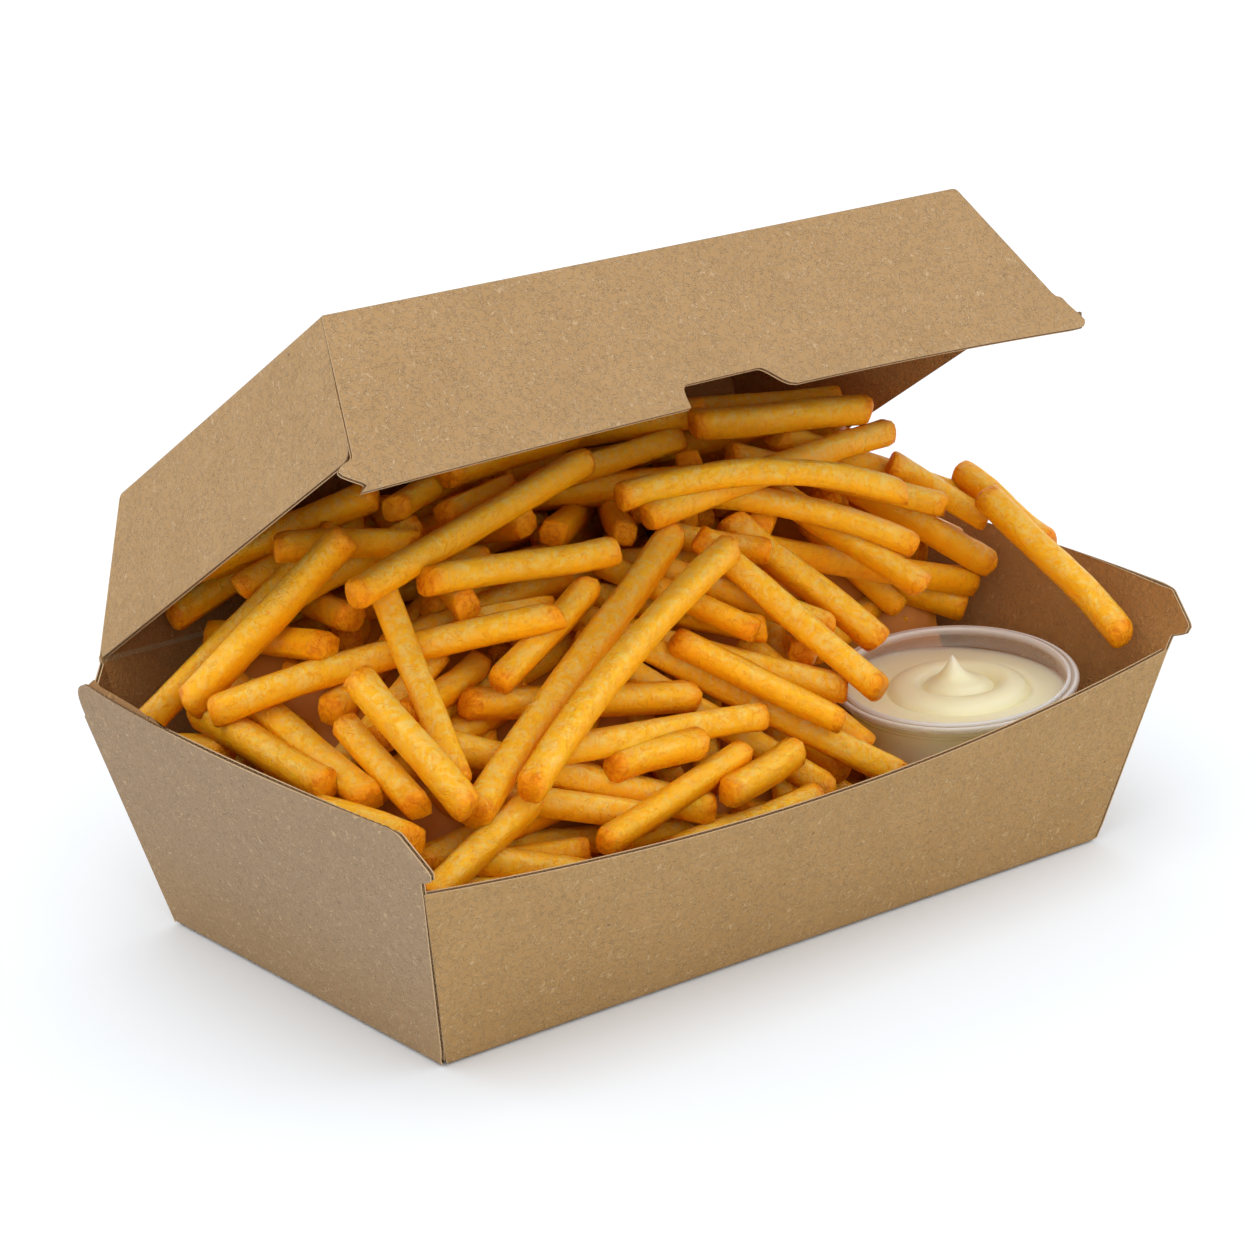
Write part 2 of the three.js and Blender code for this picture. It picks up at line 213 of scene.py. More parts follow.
def kraftMaterial(name, tone):
    n = Nodes(name)
    pale, deep, light, dark, grey = ([part * shade for part, shade in zip(kraft[key], tone)] + [1]
        for key in ("pale", "deep", "fibre", "speck", "grey"))
    spot = n.coordinates()
    cloudy = n.span(n.noise(spot, 60, 5, 0.65), 0.15, 0.85)
    grain = n.noise(spot, 1400, 3, 0.6)
    # curly fibres are the level lines of a soft noise, broken up by another
    fibres = []
    for scale, width, shift in ((380, 0.040, 0.0), (600, 0.045, 0.31)):
        moved = n.add("ShaderNodeMapping", {"Vector": spot, "Location": (shift, shift * 2, shift * 3)})
        field = n.noise(moved.outputs["Vector"], scale, 1.5, 0.5, 1.4)
        line = n.math("ABSOLUTE", n.math("SUBTRACT", field, 0.5))
        thread = n.span(line, 0.0, width, 1.0, 0.0)
        broken = n.span(n.noise(moved.outputs["Vector"], 700, 1), 0.38, 0.56)
        fibres.append(n.math("MULTIPLY", thread, broken))
    fibre = n.math("MAXIMUM", *fibres)
    cells = n.add("ShaderNodeTexVoronoi", {"Vector": spot, "Scale": 230.0, "Randomness": 1.0})
    chosen = n.span(cells.outputs["Color"], 0.80, 0.86)
    speck = n.math("MULTIPLY", n.span(cells.outputs["Distance"], 0.05, 0.13, 1.0, 0.0), chosen)
    base = n.blend(cloudy, deep, pale)
    height = n.add("ShaderNodeSeparateXYZ", {"Vector": spot}).outputs["Z"]
    # painted cool light: the tray's left end panel is blended towards grey
    base = n.blend(n.math("MULTIPLY", n.attribute("paintedCoolLight"), 0.8), base, grey)
    base = n.blend(n.math("MULTIPLY", n.span(grain, 0.35, 0.75), 0.35), base, deep)
    # painted shade: darker and warmer towards the bottom of the box
    base = n.blend(n.span(height, 0.0, 0.036, 0.45, 0.0), base, (0.33, 0.185, 0.062, 1))
    base = n.blend(n.math("MULTIPLY", fibre, 0.6), base, light)
    base = n.blend(n.math("MULTIPLY", speck, 0.6), base, dark)
    n.feed("Base Color", base)
    n.feed("Roughness", n.span(grain, 0.2, 0.8, 0.78, 0.92))
    n.shader.inputs["Specular IOR Level"].default_value = 0.25
    relief = n.math("ADD", n.math("MULTIPLY", fibre, 0.7), n.math("MULTIPLY", grain, 0.5))
    n.feed("Normal", n.bump(relief, 1.0, 0.00022))
    return n.material


def fluteMaterial():
    n = Nodes("corrugating medium painted shade")
    spot = n.coordinates()
    # the medium's brown darkened to paint the shade between the flutes
    base = n.blend(n.noise(spot, 900, 3), (0.10, 0.054, 0.022, 1), (0.24, 0.14, 0.062, 1))
    n.feed("Base Color", base)
    n.shader.inputs["Roughness"].default_value = 0.9
    return n.material


def cutMaterial():
    n = Nodes("cut liner")
    base = n.blend(n.noise(n.coordinates(), 800, 3), kraft["pale"], kraft["cut"])
    n.feed("Base Color", base)
    n.shader.inputs["Roughness"].default_value = 0.95
    return n.material


# Corrugated board: two liners with a fluted sheet between them, seen at the cut edges

board = {"thick": 1.25, "liner": 0.3, "pitch": 2.2, "flute": 0.24, "fluteDepth": 5.0, "fold": 1.5}


def foldedPoint(flange, corner, end, share):
    # share runs from -1 at the flange's end over the rounded fold, which stops at 0, to 1 at the far end
    toFlange = (flange - corner).normalized() * board["fold"]
    toEnd = (end - corner).normalized() * board["fold"]
    if share < -0.6:
        return flange.lerp(corner + toFlange, (share + 1) / 0.4)
    if share < 0:
        turn = (share + 0.6) / 0.6
        return (corner + toFlange).lerp(corner, turn).lerp(corner.lerp(corner + toEnd, turn), turn)
    return (corner + toEnd).lerp(end, share)


foldRows = [-1, -0.6, -0.48, -0.36, -0.24, -0.12, 0]


def addPanel(name, columns, rows, place, outside, paintedCoolLight=0.0, outerLook="kraft liner"):
    outer = addSheet(name + "Outer", columns, rows, place, outside)
    inner = addSheet(name + "Inner", columns, rows, place, outside)
    depth = (board["thick"] - board["liner"]) * mm
    shift = [vertex.co - vertex.normal * depth for vertex in inner.data.vertices]
    for vertex, spot in zip(inner.data.vertices, shift):
        vertex.co = spot
    # the inner liners take the darker copy of the kraft, painted shade
    for sheet, look in ((outer, outerLook), (inner, "kraft inside painted shade")):
        sheet.data.materials.append(bpy.data.materials[look])
        sheet.data.materials.append(bpy.data.materials["cut liner"])
        applyModifier(sheet, "SOLIDIFY", thickness=board["liner"] * mm, offset=-1, use_even_offset=True,
            material_offset_rim=1)
        smoothShade(sheet, 40)
        values = sheet.data.attributes.new("paintedCoolLight", "FLOAT", "POINT").data
        for value in values:
            value.value = paintedCoolLight
    return [outer, inner]


def addFlutes(name, path, place, outside, inset=0.12):
    # path lists (column, row, column step, row step) along a cut edge, the steps pointing into the sheet
    spots, inwards = [], []
    for column, row, aside, away in path:
        spot = Vector(place(column, row))
        inward = Vector(place(column + aside, row + away)) - spot
        spots.append(spot)
        inwards.append(inward.normalized())
    lengths = [0.0]
    for a, b in zip(spots, spots[1:]):
        lengths.append(lengths[-1] + (b - a).length)
    steps = max(2, round(lengths[-1] / board["pitch"] * 8))
    stations, at = [], 0
    for step in range(steps + 1):
        target = lengths[-1] * step / steps
        while at < len(spots) - 2 and lengths[at + 1] < target:
            at += 1
        share = clamp((target - lengths[at]) / max(lengths[at + 1] - lengths[at], 1e-6))
        spot = spots[at].lerp(spots[at + 1], share)
        inward = inwards[at].lerp(inwards[at + 1], share).normalized()
        tangent = (spots[at + 1] - spots[at]).normalized()
        face = tangent.cross(inward).normalized()
        if face.dot(Vector(outside)) < 0:
            face = -face
        stations.append((spot, inward, face, target))

    def wave(column, row):
        spot, inward, face, target = stations[column]
        swing = 0.5 * (board["thick"] - 2 * board["liner"] - board["flute"])
        depth = board["thick"] / 2 + swing * math.sin(2 * math.pi * target / board["pitch"])
        return spot + inward * mix(inset, board["fluteDepth"], row) - face * depth

    ribbon = addSheet(name, list(range(steps + 1)), [0, 1], wave, outside)
    applyModifier(ribbon, "SOLIDIFY", thickness=board["flute"] * mm, offset=0)
    ribbon.data.materials.append(bpy.data.materials["corrugating medium painted shade"])
    smoothShade(ribbon, 60)
    return ribbon


tray = {
    "baseHalf": 101.5, "baseDepth": 53.5, "flange": 6.0, "askew": 3.3,
    "endLean": 0.3015, "frontLean": 0.2315, "backLean": 0.318, "rearLean": 0.163,
    "frontHeight": 49.3, "frontDip": 6.5, "frontBow": 5.5, "endHeight": 64.2, "endBow": 3.5,
    # the left end panel's share of grey is painted cool light
    "creaseHeight": 62.3, "creaseHalf": 106.2, "creaseGap": 0.7, "gapLow": 1.3, "gapHigh": 0.5, "paintedCoolLight": 0.9,
    "earNotch": 52.6, "earHook": 54.4, "earReach": 4.2, "earTip": 56.2, "earShoulder": 63.3, "earSlope": 9.5,
    "rearNotch": 54.0, "rearRound": 9.5, "tab": 15.0,
}
creaseY = tray["baseDepth"] + tray["backLean"] * tray["creaseHeight"]


def trayFoot(side):
    # y of the base's front edge, which isn't quite square to the ends
    return -tray["baseDepth"] - 0.4 - tray["askew"] * side


def trayFrontPlace(side, share):
    sag = 1 - side * side
    top = tray["frontHeight"] - tray["frontDip"] * sag
    topHalf = tray["baseHalf"] + tray["endLean"] * top
    out = tray["baseDepth"] + tray["frontLean"] * top + tray["frontBow"] * sag
    foot = Vector((side * (tray["baseHalf"] - tray["gapLow"]), trayFoot(side), 0))
    inner = Vector((side * (tray["baseHalf"] - tray["flange"]), tray["flange"] + trayFoot(side), 0))
    return foldedPoint(inner, foot, Vector((side * (topHalf - tray["gapHigh"]), -out, top)), share)


def trayBackSpot(side, height):
    half = mix(tray["baseHalf"], tray["creaseHalf"], height / tray["creaseHeight"])
    return Vector((side * half, tray["baseDepth"] + tray["backLean"] * height, height))


def trayBackPlace(side, share):
    top = trayBackSpot(side, tray["creaseHeight"] - tray["creaseGap"])
    inner = Vector((side * (tray["baseHalf"] - tray["flange"]), tray["baseDepth"] - tray["flange"], 0))
    return foldedPoint(inner, trayBackSpot(side, 0), top, share)


def trayEndFront(way, height):
    # y of an end panel's front edge: straight up to the notch, then the hooked ear, cut off towards the top
    straight = -tray["baseDepth"] - tray["frontLean"] * height
    straight += (trayFoot(way) + tray["baseDepth"]) * clamp(1 - height / tray["frontHeight"])
    if height < tray["earNotch"]:
        return straight + 0.1
    if height < tray["earHook"]:
        return straight - tray["earReach"] * smooth(tray["earNotch"], tray["earHook"], height)
    slope = tray["earSlope"] / (tray["earShoulder"] - tray["earTip"])
    past = max(0, height - tray["earTip"])
    blunt = 0.5 * (1 - smooth(tray["earHook"], tray["earTip"] + 1.5, height))
    over = 3.2 * max(0, (height - tray["earShoulder"]) / (tray["endHeight"] - tray["earShoulder"])) ** 2
    return straight - tray["earReach"] + past * slope + blunt + over


def trayEndRear(height):
    straight = tray["baseDepth"] + tray["rearLean"] * height
    if height < tray["rearNotch"]:
        return straight
    climb = clamp((height - tray["rearNotch"]) / (tray["endHeight"] - tray["rearNotch"]))
    return straight - 0.8 - (tray["rearRound"] - 0.8) * (1 - math.sqrt(max(0, 1 - climb ** 3)))


def trayEndPlace(way):
    def place(across, height):
        # height below 0 runs through the flange and the fold
        ends = [(trayEndFront(way, 0), trayEndRear(0)), (tray["flange"] + trayFoot(way),
            tray["baseDepth"] - tray["flange"])]
        if height <= 0:
            y = mix(*ends[0], across)
            foot = Vector((way * tray["baseHalf"], y, 0))
            inner = Vector((way * (tray["baseHalf"] - tray["flange"]), mix(*ends[1], across), 0))
            top = foot + Vector((way * tray["endLean"], 0, 1)) * tray["endHeight"]
            return foldedPoint(inner, foot, top, height)
        rise = board["fold"] + height * (1 - board["fold"] / tray["endHeight"])
        bow = tray["endBow"] * (rise / tray["endHeight"]) ** 1.5 * (1 - (2 * across - 1) ** 2)
        y = mix(trayEndFront(way, rise), trayEndRear(rise), across)
        return Vector((way * (tray["baseHalf"] + tray["endLean"] * rise + bow), y, rise))
    return place


def trayWebPlace(way):
    def place(across, share):
        low = trayBackSpot(way, 0)
        crease = trayBackSpot(way, tray["creaseHeight"] - tray["creaseGap"])
        rear = tray["rearNotch"]
        end = Vector((way * (tray["baseHalf"] + tray["endLean"] * rear), trayEndRear(rear - 0.1), rear))
        return low.lerp(crease, share).lerp(low.lerp(end, share), across)
    return place


def trayBasePlace(side, depth):
    front, back = trayFoot(side) + tray["flange"], tray["baseDepth"] - tray["flange"]
    return Vector((side * (tray["baseHalf"] - tray["flange"]), mix(front, back, depth), 0))


def trayTabPlace(way):
    # glued tab: the end panel's front edge turned round the inside of the front wall
    def place(share, row):
        height = mix(3, tray["frontHeight"] - 8, row)
        corner = way * (tray["baseHalf"] + tray["endLean"] * height - 1.0)
        y = trayEndFront(way, height) + board["thick"] + 0.3
        return Vector((corner - way * share * tray["tab"], y, height))
    return place


def makeTray():
    sides = evenly(-1, 1, 40)
    walls = [0.06, 0.14, 0.25, 0.4, 0.55, 0.7, 0.85, 0.95, 1]
    # the front wall's outside takes the warmer copy of the kraft, painted light
    pieces = addPanel("trayFront", sides, foldRows + walls, trayFrontPlace, (0, -1, 0.1), 0.0, "kraft front painted light")
    pieces += addPanel("trayBack", evenly(-1, 1, 16), foldRows + walls, trayBackPlace, (0, 1, -0.3))
    pieces += addPanel("trayBase", evenly(-1, 1, 16), evenly(0, 1, 8), trayBasePlace, (0, 0, -1))
    top, edge = [(side, 1, 0, -0.05) for side in evenly(-1, 1, 60)], evenly(0.02, 1, 24)
    pieces.append(addFlutes("trayFrontFlutes", top, trayFrontPlace, (0, -1, 0)))
    for way in (-1, 1):
        place = trayEndPlace(way)
        grade = 1 - board["fold"] / tray["endHeight"]
        ear = [52.5, 52.7, 53.5, 54.4, 55.2, 56, 56.8, 57.8, 59, 60.2, 61.4, 62.6]
        ear += [63.2, 63.6, 63.9, 64.1, tray["endHeight"]]
        heights = evenly(4, 48, 10) + ear
        rows = foldRows + [(height - board["fold"]) / grade for height in heights]
        outside = (way, 0, -0.286)
        ups = evenly(0, 1, 36)
        # the left end panel takes the painted cool light
        pieces += addPanel("trayEnd", ups, rows, place, outside, tray["paintedCoolLight"] if way < 0 else 0.0)
        high = rows[-1]
        rim = [(across, high, 0, -1) for across in evenly(0, 1, 70)]
        front = [(0, row, 0.05, 0) for row in [0] + rows[len(foldRows):]]
        rear = [(1, row, -0.05, 0) for row in rows if row > tray["rearNotch"]]
        for part, path in (("Rim", rim), ("Front", front), ("Rear", rear)):
            pieces.append(addFlutes("trayEnd" + part, path, place, outside))
        behind = (way * 0.5, 1, -0.2)
        pieces += addPanel("trayWeb", evenly(0, 1, 3), evenly(0, 1, 8), trayWebPlace(way), behind)
        pieces += addPanel("trayTab", evenly(0, 1, 3), evenly(0, 1, 4), trayTabPlace(way), (0, -1, -0.2))
    for way in (-1, 1):
        seam = [(way, share, -way * 0.05, 0) for share in edge]
        pieces.append(addFlutes("traySeam", seam, trayFrontPlace, (0, -1, 0)))
    whole = joinPieces("trayBoard", pieces)
    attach(whole, "tray")
    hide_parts("tray")


lid = {
    "opening": 35.0, "depth": 127.7, "height": 33.3, "rimHalf": 106.2, "topHalf": 95.9, "backSet": 19.45,
    "frontSet": 5.9, "lip": 10.6, "lipLeft": 8.6, "lipRise": 3.2, "ear": 5.2, "earCut": 7.6, "seam": 1.5,
    "flange": 6.0,
    "lockLeft": -16.6, "lockRight": 16.2, "lockTop": -1.6, "corner": 3.0,
}


def lidSpot(x, ahead, height):
    # from the lid's own frame, with its origin on the crease, to the box's
    turn = math.radians(lid["opening"])
    y = creaseY + ahead * math.cos(turn) + height * math.sin(turn)
    z = tray["creaseHeight"] - ahead * math.sin(turn) + height * math.cos(turn)
    return Vector((x, y, z))


def lidHalf(height):
    return mix(lid["rimHalf"], lid["topHalf"], height / lid["height"])


def lidFrontAhead(height):
    return -lid["depth"] + lid["frontSet"] * height / lid["height"]


def lidBackAhead(height):
    return -lid["backSet"] * height / lid["height"]


def lidTopRow(side, ahead):
    # a point on the lid's top panel, in from the fold by the flange
    return lidSpot(side * (lid["topHalf"] - lid["flange"]), ahead, lid["height"])


def lidLip(x):
    # how far the front panel's lower edge is below the rim, with the cut-out for the lock
    rise = lid["lipRise"] * (1 - (x / lid["rimHalf"]) ** 2)
    edge = rise - lid["lip"]
    if x <= 0:
        edge = mix(-lid["lipLeft"], lid["lipRise"] - lid["lip"], rise / lid["lipRise"])
    left, right, top = lid["lockLeft"], lid["lockRight"], lid["lockTop"]
    if x < left or x > right:
        return edge
    if x < left + 0.4:
        return mix(edge, top - 2.6, (x - left) / 0.4)
    if x < left + 3:
        climb = (x - left - 0.4) / 2.6
        return mix(top - 2.6, top, math.sqrt(1 - (1 - climb) ** 2))
    if x < right - 8:
        return top
    if x < right - 1.8:
        return mix(top, edge + 0.5, smooth(right - 8.6, right - 1.2, x))
    return mix(edge + 0.5, edge, (x - right + 1.8) / 1.8)


def lidEar(depth, side):
    # half width of the front panel at a depth below the rim, 0 at the rim and 1 at the lip:
    # the left ear is cut off below, the right one slants out to its tip
    lip = lid["lip"] if side > 0 else lid["lipLeft"]
    down = depth * lip
    if down < 1.2:
        return lid["rimHalf"] + 0.7 * down / 1.2
    reach = lid["ear"] if side < 0 else lid["ear"] * 0.5
    out = clamp((down - 1.2) / 2.2)
    wide = lid["rimHalf"] + 0.7 + (reach - 0.7) * math.sqrt(1 - (1 - out) ** 2)
    if side < 0:
        return wide - lid["earCut"] * clamp((down - 3.4) / (lip - 3.4)) ** 1.15
    tip = clamp((down - 3.4) / (lip - 5.2))
    return wide + lid["ear"] * 0.5 * tip - 1.6 * clamp((down - lip + 1.8) / 1.8) ** 2


def lidFrontPlace(side, depth):
    # depth below 0 runs over the top fold, 0 to 1 down to the rim, 1 to 2 down the lip
    if depth <= 1:
        inner = lidTopRow(side, lidFrontAhead(lid["height"]) + lid["flange"])
        corner = lidSpot(side * lid["topHalf"], lidFrontAhead(lid["height"]), lid["height"])
        return foldedPoint(inner, corner, lidSpot(side * lid["rimHalf"], lidFrontAhead(0), 0), depth)
    depth -= 1
    x = side * lid["rimHalf"]
    x += math.copysign(lidEar(depth, side) - lid["rimHalf"], side) * smooth(0.9, 1.0, abs(side))
    height = depth * lidLip(clamp(x, -lid["rimHalf"], lid["rimHalf"]))
    return lidSpot(x, lidFrontAhead(height), height)


def lidBackPlace(side, share):
    inner = lidTopRow(side, -lid["backSet"] - lid["flange"])
    corner = lidSpot(side * lid["topHalf"], -lid["backSet"], lid["height"])
    gap = tray["creaseGap"]
    low = lidSpot(side * lidHalf(gap), lidBackAhead(gap), gap)
    return foldedPoint(inner, corner, low, share)


def lidTopPlace(side, along):
    front = lidFrontAhead(lid["height"]) + lid["flange"]
    back = -lid["backSet"] - lid["flange"]
    return lidTopRow(side, mix(front, back, along))


def lidEndPlace(way):
    def place(across, depth):
        # across runs from back to front; depth below 0 runs over the top fold, then down to the rim
        gap = lid["seam"]
        if depth <= 0:
            ahead = mix(-lid["backSet"], lidFrontAhead(lid["height"]) + gap * 0.3, across)
            front = lidFrontAhead(lid["height"]) + lid["flange"]
            inward = mix(-lid["backSet"] - lid["flange"], front, across)
            inner = lidTopRow(way, inward)
            corner = lidSpot(way * lid["topHalf"], ahead, lid["height"])
            return foldedPoint(inner, corner, lidSpot(way * lid["rimHalf"], ahead, 0), depth)
        height = (1 - depth) * (lid["height"] - board["fold"])
        back = lidBackAhead(height) - 0.3
        front = lidFrontAhead(height) + gap * mix(1.0, 0.3, height / lid["height"])
        if height < lid["corner"]:
            near = lid["corner"] * (1 - math.sqrt(max(0, 1 - (1 - height / lid["corner"]) ** 2)))
            back, front = back - near * 0.8, front + near
        return lidSpot(way * lidHalf(height), mix(back, front, across), height)
    return place


def makeLid():
    notch = evenly(lid["lockLeft"], lid["lockLeft"] + 3, 8)
    notch += evenly(lid["lockRight"] - 8.6, lid["lockRight"], 10)
    sides = sorted(set(evenly(-1, -0.9, 8) + evenly(-0.9, 0.9, 30) + evenly(0.9, 1, 8)
        + [x / lid["rimHalf"] for x in notch] + [(lid["lockLeft"] - 0.05) / lid["rimHalf"]]))
    walls = [0.1, 0.25, 0.4, 0.55, 0.7, 0.85, 0.94, 1]
    lips = [1 + share for share in (0.04, 0.1, 0.16, 0.19, 0.2, 0.23, 0.28, 0.35, 0.45, 0.56, 0.66, 0.76,
        0.86, 0.94, 0.98, 1)]
    out = (0, -math.cos(math.radians(lid["opening"])), math.sin(math.radians(lid["opening"])))
    up = (0, math.sin(math.radians(lid["opening"])), math.cos(math.radians(lid["opening"])))
    pieces = addPanel("lidFront", sides, foldRows + walls + lips, lidFrontPlace, out)
    pieces += addPanel("lidBack", evenly(-1, 1, 16), foldRows + walls, lidBackPlace, (0, 1, 0.3))
    pieces += addPanel("lidTop", evenly(-1, 1, 16), evenly(0, 1, 12), lidTopPlace, up)
    bottom = [(side, 2, 0, -0.2) for side in sides]
    pieces.append(addFlutes("lidFrontFlutes", bottom, lidFrontPlace, out))
    for way in (-1, 1):
        place = lidEndPlace(way)
        rows = foldRows + evenly(0.08, 0.88, 8) + [0.92, 0.95, 0.97, 0.985, 0.995, 1]
        outside = Vector((way, 0, 0)) + Vector(up) * 0.3
        pieces += addPanel("lidEnd", evenly(0, 1, 24), rows, place, outside)
        rim = [(across, 1, 0, -0.1) for across in evenly(0, 1, 70)]
        seam = [(1, depth, -0.05, 0) for depth in rows[len(foldRows):]]
        pieces.append(addFlutes("lidEndRim", rim, place, outside))
        pieces.append(addFlutes("lidEndSeam", seam, place, outside))
        ear = [(way, 1 + depth, -way * 0.02, 0) for depth in evenly(0.2, 1, 16)]
        pieces.append(addFlutes("lidEar", ear, lidFrontPlace, out))
        side = [(way, depth, -way * 0.05, 0) for depth in evenly(0.02, 1, 20)]
        pieces.append(addFlutes("lidSide", side, lidFrontPlace, out))
    whole = joinPieces("lidBoard", pieces)
    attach(whole, "lid")
    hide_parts("lid")


def makeCrease():
    # the fold between tray and lid, shaped for the lid's present opening
    gap = tray["creaseGap"]

    def place(side, share):
        below = tray["creaseHeight"] - gap
        low = Vector((side * tray["creaseHalf"], tray["baseDepth"] + tray["backLean"] * below, below))
        high = lidSpot(side * lid["rimHalf"], lidBackAhead(gap), gap)
        middle = Vector((side * tray["creaseHalf"], creaseY, tray["creaseHeight"]))
        return low.lerp(middle, share).lerp(middle.lerp(high, share), share)

    strip = addSheet("creaseFold", evenly(-1, 1, 16), evenly(0, 1, 8), place, (0, 1, 0))
    applyModifier(strip, "SOLIDIFY", thickness=1.1 * mm, offset=-1)
    smoothShade(strip, 50)
    strip.data.materials.append(bpy.data.materials["kraft liner"])
    start, end = Vector(place(0, 0)) * mm, Vector(place(0, 1)) * mm
    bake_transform(strip)


# Fries

potSpot = {"x": 77.1, "y": -29.5, "rimZ": 42.4, "rim": 31.0, "tilt": 5.8, "towards": -161.0}

heap = {
    "foot": -64.0, "crest": 34.0, "footZ": 37.0, "crestZ": 103.0, "behindDrop": 24.0, "leftStart": -80.0,
    "leftZ": 50.0, "rightStart": 84.0, "rightZ": 49.0, "rightRise": 31.0, "endWidth": 32.0, "potSlope": 16.0,
    "coreDrop": 31.0, "lowest": 20.0,
}


def underLid(x, y):
    # how high the fries may lie so that the lid, at its lowest, clears them
    angle = math.radians(heap["lowest"])
    ahead = creaseY - y
    inside = lid["rimHalf"] - board["thick"] - 8 - abs(x)
    if inside < 0:
        return tray["creaseHeight"] + ahead * math.tan(angle) - 2
    roof = min(lid["height"] - board["thick"] - 1, inside * lid["height"] / (lid["rimHalf"] - lid["topHalf"]))
    return tray["creaseHeight"] + (roof + ahead * math.sin(angle)) / math.cos(angle)


def heapTop(x, y):
    # the heap's outline as it would be without the pot
    rise = math.sin(clamp((y - heap["foot"]) / (heap["crest"] - heap["foot"])) * math.pi / 2)
    behind = max(0, y - heap["crest"]) / (creaseY - heap["crest"])
    ridge = mix(heap["footZ"], heap["crestZ"], rise) - heap["behindDrop"] * behind ** 1.6
    leftEnd = clamp((heap["leftStart"] - x) / heap["endWidth"]) ** 1.2
    rightEnd = clamp((x - heap["rightStart"]) / heap["endWidth"])
    left = mix(ridge, min(ridge, heap["leftZ"] + 10 * rise), leftEnd)
    return mix(left, heap["rightZ"] + heap["rightRise"] * rise - heap["behindDrop"] * behind, rightEnd)


def moundTop(x, y):
    fromPot = math.hypot(x - potSpot["x"], y - potSpot["y"]) - potSpot["rim"]
    return mix(potSpot["rimZ"] + 1, heapTop(x, y), smooth(-4, heap["potSlope"], fromPot))


def trayInside(u, v, z):
    inset = board["thick"] + 0.6
    wall = min(z, tray["endHeight"])
    half = tray["baseHalf"] + tray["endLean"] * wall - inset
    front = -tray["baseDepth"] - tray["frontLean"] * wall + inset
    back = tray["baseDepth"] + tray["rearLean"] * wall - inset
    return Vector((u * half, mix(front, back, v), z))


fry = {
    "half": 3.4, "sides": 14, "seed": 7, "fillSides": 8, "clear": 5.5, "deepest": 34.0,
    "rest": 3.0, "sunk": 21.0,      # how far above and below the outline the long fries may lie
    "paintedLightWay": (-0.30, -0.45, 0.84),      # the way the painted light comes from: faces turned to it are painted palest, faces turned away painted deep orange as shade
    "passes": ((52, 80, -1.0, 1800), (38, 54, -1.0, 1800), (20, 36, 0.66, 2500), (24, 38, -1.0, 2400)),
    # each pass: shortest, longest, how far left the middles may be and how many tries
}

# Long fries strewn over the heap, the topmost first: x and y of the middle, heading in
# degrees, length, and how far the middle bends up. Their heights are worked out by settle.
strewnFries = [
    # crossing over the others
    (34, -6, -12, 80, 6), (-30, -32, 20, 94, 4), (46, 4, 8, 94, 1), (-38, -22, 24, 104, 1),
    (-44, 8, 12, 84, 0), (-76, 0, -30, 80, 2), (48, -2, -30, 60, 3), (106, -35, -86, 46, 1),
    (112, -12, 88, 34, 0), (100, 0, -25, 26, 0),
    (8, -32, -38, 70, 0), (20, -12, -35, 46, 0), (-40, -4, -5, 52, 0), (-50, 20, 75, 54, 0),
    # right end and behind the pot
    (88, 12, -15, 56, 0), (60, 16, -10, 52, 0), (96, 4, -35, 40, 0), (108, 20, -80, 34, 0),
    (70, 6, -28, 56, 0), (62, -6, -60, 40, 0),
    # under the lid
    (25, 40, -40, 46, 0), (-12, 34, 12, 50, 0), (12, 26, 5, 50, 0), (-36, 34, 30, 46, 0),
    (-52, 32, -40, 50, 0), (-74, 42, -40, 44, 0), (60, 32, -20, 56, 0),
    # left end
    (-93, 22, -25, 38, 0), (-90, 38, -20, 48, 0), (-72, 34, 78, 46, 0),
    (-86, -4, 5, 46, 0), (-92, -30, -85, 36, 0), (-78, -14, 74, 48, 0), (-86, -46, 15, 38, 0),
    # front
    (-68, -48, -20, 40, 0), (-52, -34, -25, 70, 0), (-28, -38, -5, 60, 0),
    (-5, -28, -45, 60, 0), (24, -26, -60, 46, 0), (40, -14, -65, 40, 0),
]


def modelFry(sides, rings):
    # a blunt round bar along Z from 0 to 1, drawn out ring by ring from a disc
    bpy.ops.object.select_all(action="DESELECT")
    bpy.ops.mesh.primitive_circle_add(vertices=sides, radius=1, fill_type="NGON")
    bar = bpy.context.object
    bpy.ops.object.mode_set(mode="EDIT")
    bpy.ops.mesh.select_all(action="SELECT")
    for below, above in zip(rings, rings[1:]):
        bpy.ops.mesh.extrude_region_move(TRANSFORM_OT_translate={"value": (0, 0, above - below)})
    bpy.ops.mesh.inset(thickness=0.35, depth=0)
    bpy.ops.mesh.select_all(action="SELECT")
    bpy.ops.mesh.normals_make_consistent(inside=False)
    bpy.ops.object.mode_set(mode="OBJECT")
    return bar


def fryLine(start, finish, up, aside, steps):
    # points along a fry's bent middle line
    start, finish = Vector(start), Vector(finish)
    side = (finish - start).cross(Vector((0, 0, 1))).normalized()
    above = side.cross(finish - start).normalized()
    bend = above * up + side * aside
    return [start.lerp(finish, share) + bend * (4 * share * (1 - share)) for share in evenly(0, 1, steps)]


